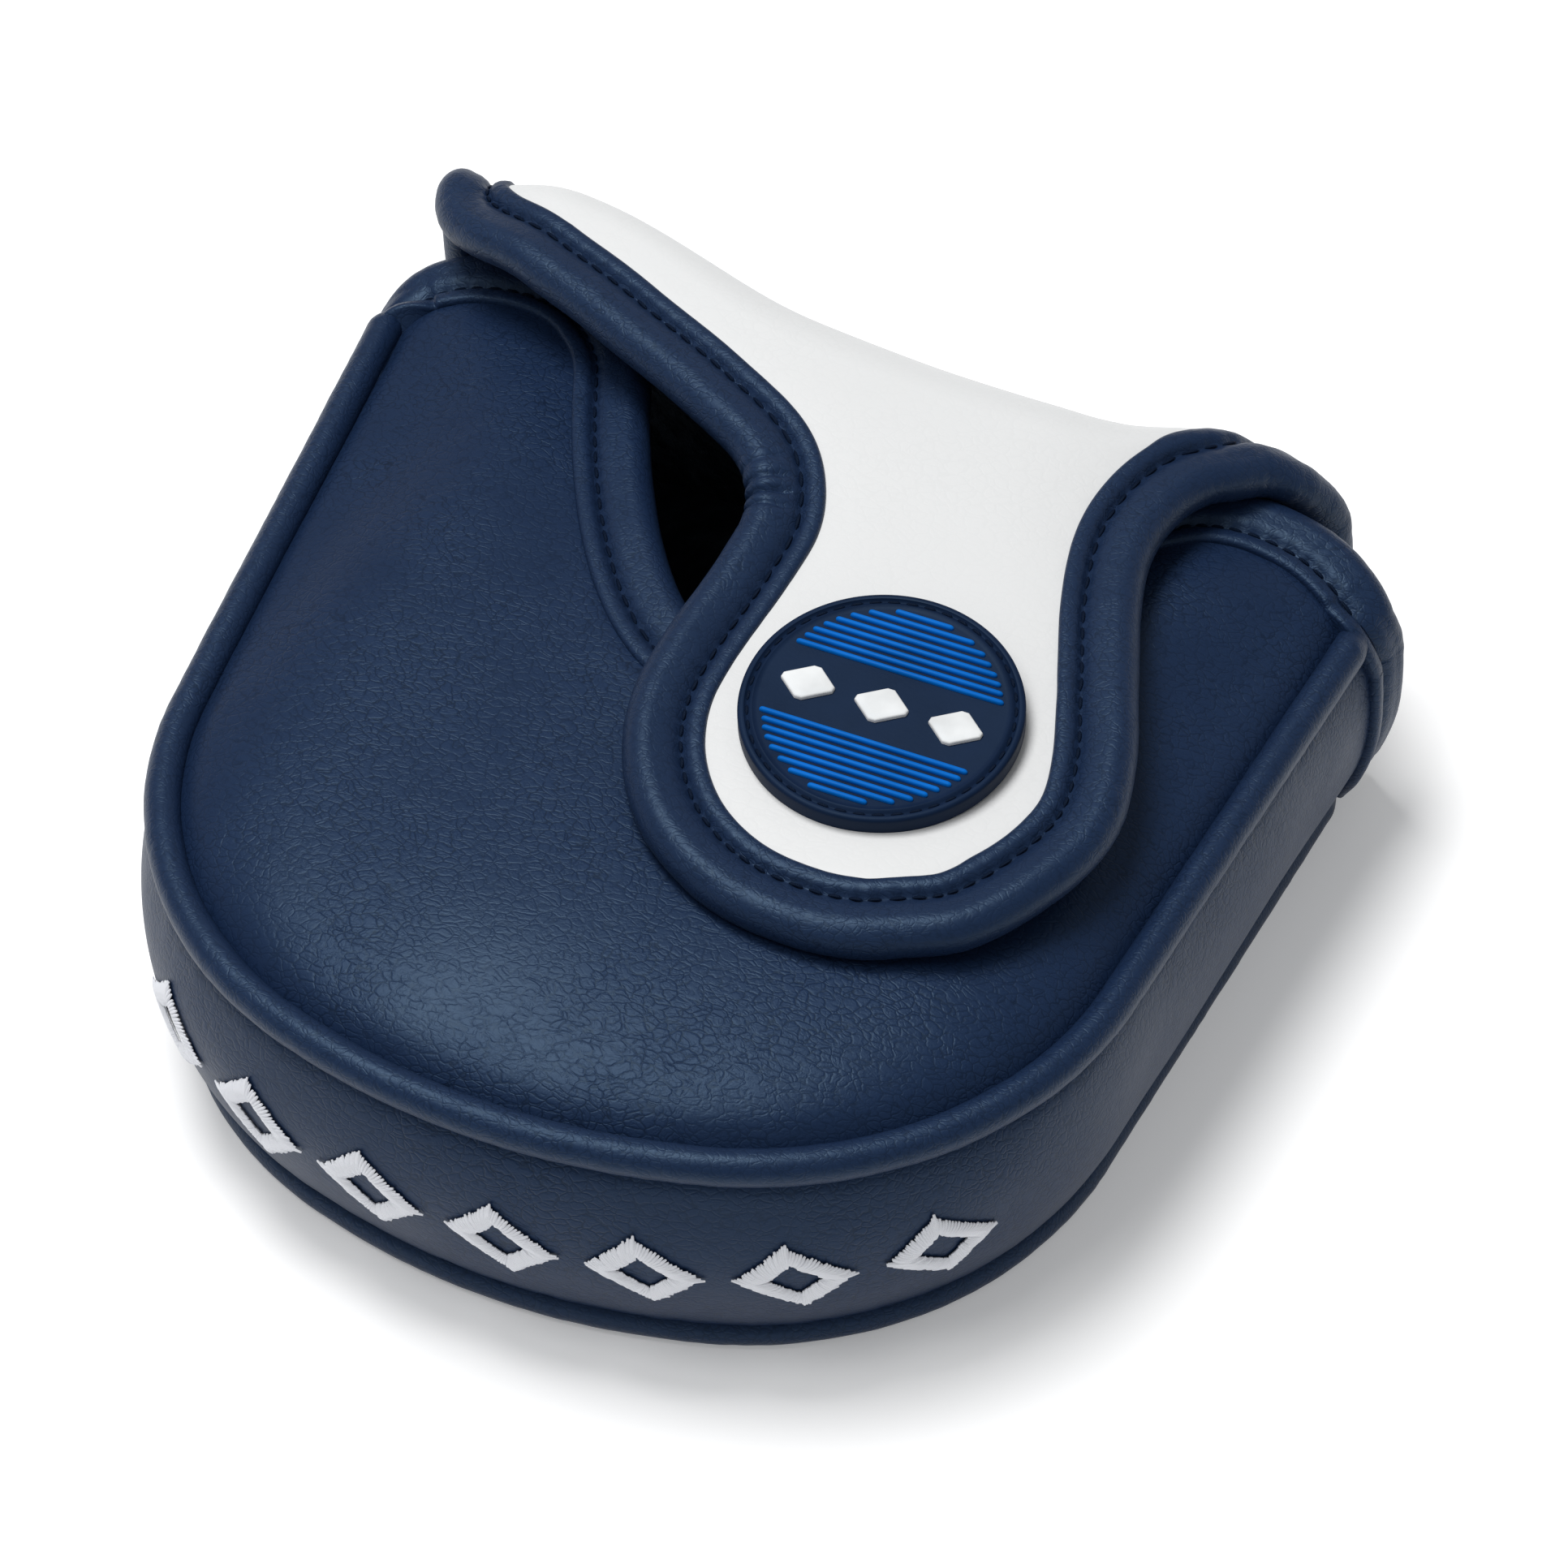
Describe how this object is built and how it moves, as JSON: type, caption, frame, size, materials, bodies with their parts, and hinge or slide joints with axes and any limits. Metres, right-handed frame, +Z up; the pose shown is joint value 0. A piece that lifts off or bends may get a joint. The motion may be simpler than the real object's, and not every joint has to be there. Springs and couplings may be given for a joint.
{
  "type": "putter head cover",
  "caption": "Padded mallet putter head cover: rounded navy pouch with piped seams and a fold-over white flap carrying a round ribbed badge.",
  "frame": {"origin": "on the outer face of the bottom panel, on the pouch's centre line, under the middle of the top", "axes": "+Z up, the cover resting on its bottom panel; +Y towards the open mouth and the flap's back wall, -Y towards the rounded nose; +X to the side the flap's tongue is offset to"},
  "size_m": [0.1354, 0.1331, 0.0501],
  "materials": {
    "leather_navy": "fine grained coated leather, satin",
    "leather_white": "smooth coated leather, satin",
    "fleece": "dark short pile",
    "foam": "matt open-cell padding",
    "filler_cord": "twisted cotton cord",
    "embroidery_white": "satin-stitch thread",
    "badge_navy": "matt moulded",
    "badge_blue": "satin moulded",
    "badge_white": "satin moulded",
    "magnet": "nickel plated"
  },
  "bodies": {
    "pouch": {"top_panel": "leather_navy", "top_padding": "foam", "top_lining": "fleece", "side_band": "leather_navy", "side_padding": "foam", "side_lining": "fleece", "bottom_panel": "leather_navy", "bottom_padding": "foam", "bottom_lining": "fleece", "top_piping": "leather_navy", "top_piping_cord": "filler_cord", "bottom_piping": "leather_navy", "bottom_piping_cord": "filler_cord", "mouth_binding": "leather_navy", "mouth_binding_cord": "filler_cord", "catch_magnet": "magnet", "motif_1": "embroidery_white", "motif_2": "embroidery_white", "motif_3": "embroidery_white", "motif_4": "embroidery_white", "motif_5": "embroidery_white", "motif_6": "embroidery_white", "motif_7": "embroidery_white"},
    "flap_wall": {"flap_wall_panel": "leather_white", "flap_wall_padding": "foam", "flap_wall_lining": "fleece", "flap_binding_left": "leather_navy", "flap_binding_left_cord": "filler_cord", "flap_binding_right": "leather_navy", "flap_binding_right_cord": "filler_cord"},
    "flap_tongue": {"flap_tongue_panel": "leather_white", "flap_tongue_padding": "foam", "flap_tongue_lining": "fleece", "flap_binding_top": "leather_navy", "flap_binding_top_cord": "filler_cord", "badge_base": "badge_navy", "badge_ribs_upper": "badge_blue", "badge_ribs_lower": "badge_blue", "badge_lozenge_1": "badge_white", "badge_lozenge_2": "badge_white", "badge_lozenge_3": "badge_white", "flap_magnet": "magnet"}
  },
  "joints": [
    {"name": "flap_hinge", "type": "hinge", "parent": "pouch", "child": "flap_wall", "pos_m": [0, 0.0684, 0.0015], "axis": [-1, 0, 0], "range_deg": [0, 65]},
    {"name": "flap_fold", "type": "hinge", "parent": "flap_wall", "child": "flap_tongue", "pos_m": [0, 0.0682, 0.031], "axis": [-1, 0, 0], "range_deg": [0, 90]}
  ]
}
